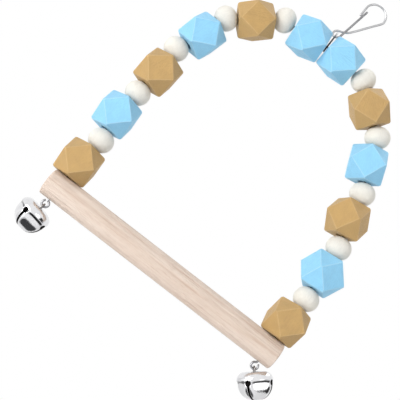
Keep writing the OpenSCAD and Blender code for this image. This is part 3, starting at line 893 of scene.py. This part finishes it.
def ball_mesh(name):
    """A steel ball with shallow dents, low in the bell."""
    dent = 0.012
    mesh = bpy.data.meshes.new(name)
    with Edited(mesh) as bm:
        bmesh.ops.create_icosphere(bm, subdivisions=4, radius=CLAPPER_R)
        for v in bm.verts:
            wave = math.sin(7 * v.co.x + 5 * v.co.y) * math.cos(6 * v.co.z)
            v.co *= 1 - dent * (0.5 + 0.5 * wave)
            v.co.z += WAIST_Z - PETAL_H + BELL_WALL + CLAPPER_R + 0.1
    return mesh


for side, side_name in SIDES:
    at = bell_matrix(side)
    body = "bell_" + side_name
    name = "bell_shell_" + side_name
    shell = add_piece(name, bell_shell_mesh(name, BELL_TURNS[side][2]), [BELL, INSIDE],
                      body, "bell_nickel", body + "_shell", at)
    wall = shell.modifiers.new("wall", "SOLIDIFY")
    wall.thickness = BELL_WALL * MM
    wall.offset = -1
    wall.use_even_offset = True
    wall.material_offset = 1
    wall.material_offset_rim = 1
    name = "bell_eye_wire_" + side_name
    add_piece(name, bell_eye_mesh(name), [EYE], body, "bell_nickel", body + "_eye", at)
    name = "bell_ball_" + side_name
    add_piece(name, ball_mesh(name), [BALL], "clapper_" + side_name, "ball_steel",
              body + "_clapper", at)

# Camera, fitted to the photograph
AZ, EL, ROLL, FOCAL_PX, DISTANCE = 0.23, -11.59, 37.77, 945.4, 500.0
TARGET = Vector((-6.3, 0.0, 41.2))
PHOTO_PX, SENSOR = 400, 36.0
back = Vector((sin(AZ) * cos(EL), -cos(AZ) * cos(EL), sin(EL)))
level_right = (-back).cross(Vector((0, 0, 1))).normalized()
level_up = level_right.cross(-back)
right = level_right * cos(ROLL) + level_up * sin(ROLL)
up = -level_right * sin(ROLL) + level_up * cos(ROLL)
camera_data = bpy.data.cameras.new("photo_camera")
camera_data.sensor_width = SENSOR
camera_data.sensor_fit = "HORIZONTAL"
camera_data.lens = FOCAL_PX * SENSOR / PHOTO_PX
camera_data.clip_start = 0.01
camera_data.clip_end = 20
camera = link_object("photo_camera", camera_data)
camera_at = PERCH_MIDDLE + (TARGET + back * DISTANCE) * MM
camera.matrix_world = (Matrix.Translation(camera_at)
                       @ Matrix((right, up, back)).transposed().to_4x4())
bpy.context.scene.camera = camera

# Floor, well below the hanging swing, with a dark mat under it that reflections alone see
FLOOR_R, FLOOR_Z = 1.6, -0.62
MAT_X, MAT_Y, MAT_IN, MAT_OUT = 0.12, -0.04, 0.26, 0.36
floor_mesh = bpy.data.meshes.new("floor")
with Edited(floor_mesh) as bm:
    bmesh.ops.create_circle(bm, cap_ends=True, segments=96, radius=FLOOR_R)
floor = link_object("floor", floor_mesh)
floor.location = (0, 0, FLOOR_Z)
m = Nodes("pale_floor")
x, y, _ = m.add("SeparateXYZ", {0: m.add("NewGeometry").outputs["Position"]}).outputs
across = m.maths("POWER", m.maths("SUBTRACT", x, MAT_X), 2.0)
along = m.maths("POWER", m.maths("SUBTRACT", y, MAT_Y), 2.0)
from_mat = m.maths("SQRT", m.maths("ADD", across, along))
mat = m.add("MapRange", {0: from_mat, 1: MAT_IN, 2: MAT_OUT, 3: 1.0, 4: 0.0},
            interpolation_type="SMOOTHSTEP").outputs[0]
mat = m.times(mat, m.add("LightPath").outputs["Is Glossy Ray"])
pale, dark = (0.86, 0.86, 0.86, 1.0), (0.02, 0.02, 0.022, 1.0)
m.set(Base_Color=m.blend("MIX", mat, pale, dark), Roughness=0.7)
floor_mesh.materials.append(m.material)


# Light
def area_light(name, direction, distance, size, power):
    """A round lamp that the camera does not see, turned to the middle of the swing."""
    data = bpy.data.lights.new(name, "AREA")
    data.shape = "DISK"
    data.size = size
    data.energy = power
    ob = link_object(name, data)
    middle = PERCH_MIDDLE + Vector((0, 0, 80)) * MM
    at = middle + direction.normalized() * distance
    turn = (at - middle).to_track_quat("Z", "Y").to_matrix().to_4x4()
    ob.matrix_world = Matrix.Translation(at) @ turn
    ob.visible_camera = False


area_light("key", back * 0.75 - right * 0.75 + up * 0.55, distance=1.1, size=0.7, power=10.0)
area_light("fill", back * 0.8 + right * 0.7 - up * 0.2, distance=1.4, size=0.9, power=2.8)
area_light("top", Vector((0.1, 0.3, 1.0)), distance=1.2, size=0.8, power=4.0)

# Camera and shiny surfaces see a white room that lights nothing, the latter with a dark panel
PANEL = Vector((0.95, -0.3, 0.0)).normalized()
PANEL_IN, PANEL_OUT, PANEL_SHADE, SOFT_LIGHT = 20, 27, 0.04, 0.82
world = bpy.data.worlds.new("studio")
bpy.context.scene.world = world
world.use_nodes = True
tree = world.node_tree
tree.nodes.clear()


def larger(a, b):
    return add_node(tree, "Math", {0: a, 1: b}, operation="MAXIMUM").outputs[0]


def background(strength):
    return add_node(tree, "Background", {"Color": (1, 1, 1, 1), "Strength": strength}).outputs[0]


rays = add_node(tree, "LightPath").outputs
seen = larger(larger(rays["Is Camera Ray"], rays["Is Glossy Ray"]), rays["Is Transmission Ray"])
looking = add_node(tree, "TexCoord").outputs["Generated"]
near = add_node(tree, "VectorMath", {0: looking, 1: PANEL}, operation="DOT_PRODUCT")
edges = {1: cos(PANEL_OUT), 2: cos(PANEL_IN), 3: 1.0, 4: PANEL_SHADE}
shade = add_node(tree, "MapRange", {0: near.outputs["Value"], **edges},
                 interpolation_type="SMOOTHSTEP").outputs[0]
room = background(larger(shade, rays["Is Camera Ray"]))
mixed = add_node(tree, "MixShader", {0: seen, 1: background(SOFT_LIGHT), 2: room}).outputs[0]
add_node(tree, "OutputWorld", {"Surface": mixed})

bpy.context.scene.view_settings.view_transform = "Standard"
